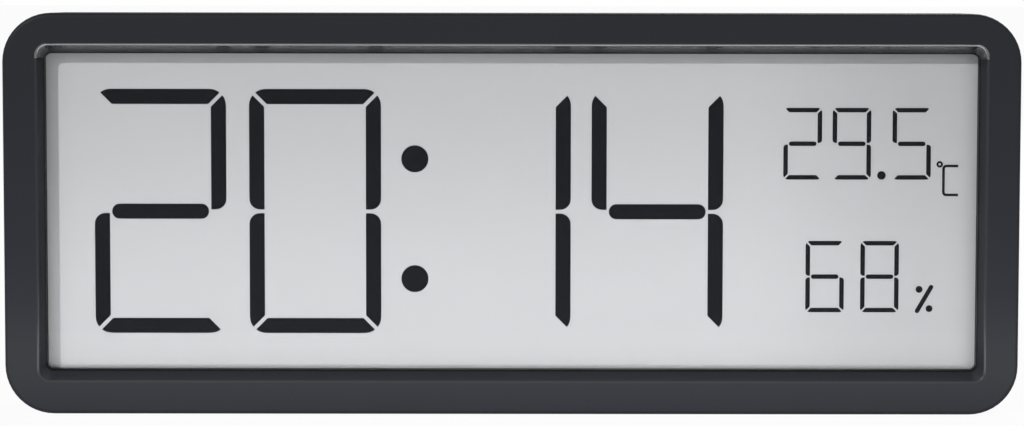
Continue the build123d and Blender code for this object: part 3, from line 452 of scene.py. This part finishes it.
FINISHES = {
    "charcoal_plastic": moulded("charcoal_plastic", BLACK, CHARCOAL, 0.85, 0.1, 0.02),
    "button_plastic": moulded("button_plastic", (0.03, 0.03, 0.034), (0.04, 0.04, 0.045), 0.36, 0.4, 0.01),
    "clear_plastic": printed_window(),
    "film": clear_sheet("film", 0.990, 0.15, 0.2),
    "display_glass": clear_sheet("display_glass", 0.988, 0.3, 0.02),
    "display_grey": display_face(),
    "reflector_film": moulded("reflector_film", (0.55, 0.56, 0.57), (0.62, 0.63, 0.64), 0.35, 0.5, 0.01),
    "lit_segment": lit_area(),
    "adhesive": rubbery("adhesive", (0.020, 0.020, 0.021), (0.030, 0.030, 0.031), 1500.0),
    "foam": rubbery("foam", (0.012, 0.012, 0.013), (0.024, 0.024, 0.025), 2500.0),
    "seal_resin": moulded("seal_resin", (0.16, 0.16, 0.16), (0.20, 0.20, 0.20), 0.4),
    "white_plastic": moulded("white_plastic", (0.62, 0.62, 0.60), (0.70, 0.70, 0.68), 0.45),
    "conductive_rubber": rubbery("conductive_rubber", (0.03, 0.03, 0.03), (0.06, 0.06, 0.06), 1800.0),
    "board_laminate": board_laminate(),
    "resin": moulded("resin", (0.008, 0.008, 0.008), (0.013, 0.013, 0.013), 0.18, 0.5, 0.03),
    "steel": metal("steel", STEEL_DARK, STEEL_LIGHT, 0.34, (1.0, 0.08, 1.0)),
    "sensor_plastic": moulded("sensor_plastic", (0.55, 0.62, 0.68), (0.62, 0.69, 0.75), 0.4),
    "chip_ceramic": moulded("chip_ceramic", (0.16, 0.12, 0.08), (0.24, 0.19, 0.13), 0.5),
    "black_plastic": moulded("black_plastic", (0.014, 0.014, 0.014), (0.022, 0.022, 0.022), 0.4),
    "cell_jacket": cell_jacket(),
    "contact_metal": metal("contact_metal", (0.52, 0.51, 0.49), (0.66, 0.65, 0.63), 0.28, (1.0, 1.0, 0.06)),
    "red_insulation": moulded("red_insulation", (0.36, 0.012, 0.012), (0.46, 0.020, 0.018), 0.38),
    "black_insulation": moulded("black_insulation", (0.012, 0.012, 0.012), (0.018, 0.018, 0.018), 0.38),
}
OWN_FINISHES = {"front_frame": bevelled_frame(), "case_screws": cross_heads()}
MARK_FINISH = moulded("mark_paint", (0.44, 0.44, 0.44), (0.52, 0.52, 0.52), 0.5, 0.3, 0.01)


def dress_nodes():
    """Gives every node its own finish, or the one of its material slot."""
    for part in frame["record"]["subparts"]:
        mesh = nodes[part["node"]].data
        mesh.materials.clear()
        mesh.materials.append(OWN_FINISHES.get(part["node"]) or FINISHES[part["material_slot"]])
    for name in ("front_polarizer", "front_glass"):
        nodes[name].visible_shadow = False
        nodes[name].visible_diffuse = False


def pick_faces(piece, wanted):
    """In edit mode, selects only the faces that a test wants."""
    shape = bmesh.from_edit_mesh(piece.data)
    bpy.ops.mesh.select_all(action="DESELECT")
    bpy.ops.mesh.select_mode(type="FACE")
    for face in shape.faces:
        face.select_set(wanted(face))
    bmesh.update_edit_mesh(piece.data)


def raised_mark(name, sides, radius, spot, turn, body, widen=1.0):
    """A low raised mark on a button, with a sloped edge, made from a disc with the given number of sides."""
    bpy.ops.object.select_all(action="DESELECT")
    bpy.ops.mesh.primitive_cylinder_add(
        vertices=sides,
        radius=radius,
        depth=MARK_DEPTH,
        location=(spot[0], spot[1] - MARK_DEPTH / 2, spot[2]),
        rotation=(math.pi / 2, turn, 0.0),
    )
    piece = bpy.context.object
    piece.name = name
    piece.scale.x = widen
    bpy.ops.object.transform_apply(location=True, rotation=True, scale=True)
    bpy.ops.object.mode_set(mode="EDIT")
    pick_faces(piece, lambda face: face.normal.y > 0.9)
    bpy.ops.mesh.inset(thickness=MARK_SLOPE)
    bpy.ops.transform.translate(value=(0.0, MARK_RISE, 0.0))
    bpy.ops.mesh.select_all(action="SELECT")
    bpy.ops.mesh.normals_make_consistent(inside=False)
    bpy.ops.object.mode_set(mode="OBJECT")
    bpy.ops.object.shade_smooth_by_angle(angle=MARK_SMOOTH)
    piece.data.materials.clear()
    piece.data.materials.append(MARK_FINISH)
    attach(piece, body)


def middle(node):
    """The middle of a node's outer face, as seen from behind."""
    low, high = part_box(node)
    return ((low.x + high.x) / 2, high.y, (low.z + high.z) / 2)


def button_marks():
    """Signs on the four buttons: a dot to set, two triangles to step and a bar for the unit."""
    raised_mark("set_dot", 24, 0.95 * MM, middle("set_button"), 0.0, "set_key")
    raised_mark("up_triangle", 3, 1.4 * MM, middle("up_button"), 0.0, "up_key")
    raised_mark("down_triangle", 3, 1.4 * MM, middle("down_button"), math.pi, "down_key")
    raised_mark("unit_bar", 24, 0.6 * MM, middle("unit_button"), 0.0, "unit_key", 2.6)


def white_ground():
    """A pale floor that looks white and keeps the shadow of the clock."""
    bpy.ops.mesh.primitive_plane_add(size=FLOOR_SIZE, location=(0.0, 0.0, -FLOOR_DROP))
    floor = bpy.context.object
    floor.name = "floor"
    material, place = new_finish("floor")
    matt = place.node("ShaderNodeBsdfDiffuse", None, {"Color": colour_of(FLOOR_GREY)})
    white = place.node("ShaderNodeEmission", None, {"Color": colour_of(WHITE), "Strength": 1.0})
    mixed = place.node("ShaderNodeMixShader", None, {0: FLOOR_WHITENESS * seen(place), 1: matt, 2: white})
    place.node("ShaderNodeOutputMaterial", None, {"Surface": mixed})
    floor.data.materials.append(material)


def seen(place):
    """One for rays that show the background: from the camera, a gloss or a clear sheet."""
    camera = place.node("ShaderNodeLightPath", None, None, "Is Camera Ray")
    glossy = place.node("ShaderNodeLightPath", None, None, "Is Glossy Ray")
    through = place.node("ShaderNodeLightPath", None, None, "Is Transmission Ray")
    settings = {"operation": "ADD", "use_clamp": True}
    return place.node("ShaderNodeMath", settings, {0: camera + glossy, 1: through})


def studio_world():
    """Soft even light from all around, before a white background."""
    world = bpy.data.worlds.new("studio")
    bpy.context.scene.world = world
    world.use_nodes = True
    tree = world.node_tree
    tree.nodes.clear()
    place = Wire(tree.nodes.new("ShaderNodeTexCoord").outputs["Generated"])
    soft = place.node("ShaderNodeBackground", None, {"Color": colour_of(SKY), "Strength": WORLD_LEVEL})
    white = place.node("ShaderNodeBackground", None, {"Color": colour_of(WHITE), "Strength": 1.0})
    mixed = place.node("ShaderNodeMixShader", None, {0: seen(place), 1: soft, 2: white})
    place.node("ShaderNodeOutputWorld", None, {"Surface": mixed})


def aimed_light(name, kind, spot, target, energy):
    """A lamp at a spot, turned towards a target."""
    data = bpy.data.lights.new(name, kind)
    data.energy = energy
    lamp = bpy.data.objects.new(name, data)
    lamp.location = spot
    lamp.rotation_euler = (Vector(target) - Vector(spot)).to_track_quat("-Z", "Y").to_euler()
    lamp.visible_camera = False
    bpy.context.scene.collection.objects.link(lamp)
    return lamp


def sun(name, spot, angle, level):
    """A far lamp that shines from the side of a spot, softer the wider its angle."""
    lamp = aimed_light(name, "SUN", spot, ORIGIN, level)
    lamp.data.angle = angle


def softbox(name, spot, target, size, level):
    """A rectangular lamp of a width and a height."""
    lamp = aimed_light(name, "AREA", spot, target, level)
    lamp.data.shape = "RECTANGLE"
    lamp.data.size = size[0]
    lamp.data.size_y = size[1]


def studio_lamps():
    """The key from the upper left, a strip low in front, a broad fill and a soft lamp behind."""
    sun("key", KEY_FROM, KEY_ANGLE, KEY_LEVEL)
    softbox("low_strip", STRIP_FROM, STRIP_AT, STRIP_SIZE, STRIP_LEVEL)
    sun("front_fill", FILL_FROM, FILL_ANGLE, FILL_LEVEL)
    softbox("back_softbox", BACK_FROM, BACK_AT, BACK_SIZE, BACK_LEVEL)


def photo_camera():
    """The camera of the photograph: in front, nearly level with the top of the clock."""
    away = Vector((0.0, -math.cos(CAMERA_RISE), math.sin(CAMERA_RISE)))
    data = bpy.data.cameras.new("camera")
    data.sensor_fit = "HORIZONTAL"
    data.sensor_width = SENSOR
    data.lens = SENSOR * CAMERA_DISTANCE / VIEW_WIDTH
    data.clip_start = CAMERA_NEAR
    data.clip_end = CAMERA_FAR
    camera = bpy.data.objects.new("camera", data)
    camera.location = Vector(CAMERA_AIM) + away * CAMERA_DISTANCE
    aim = (-away).to_track_quat("-Z", "Y")
    camera.rotation_euler = (aim @ Quaternion((0.0, 0.0, 1.0), CAMERA_ROLL)).to_euler()
    bpy.context.scene.collection.objects.link(camera)
    bpy.context.scene.camera = camera


dress_nodes()
button_marks()
white_ground()
studio_world()
studio_lamps()
photo_camera()
bpy.context.scene.view_settings.view_transform = "Standard"
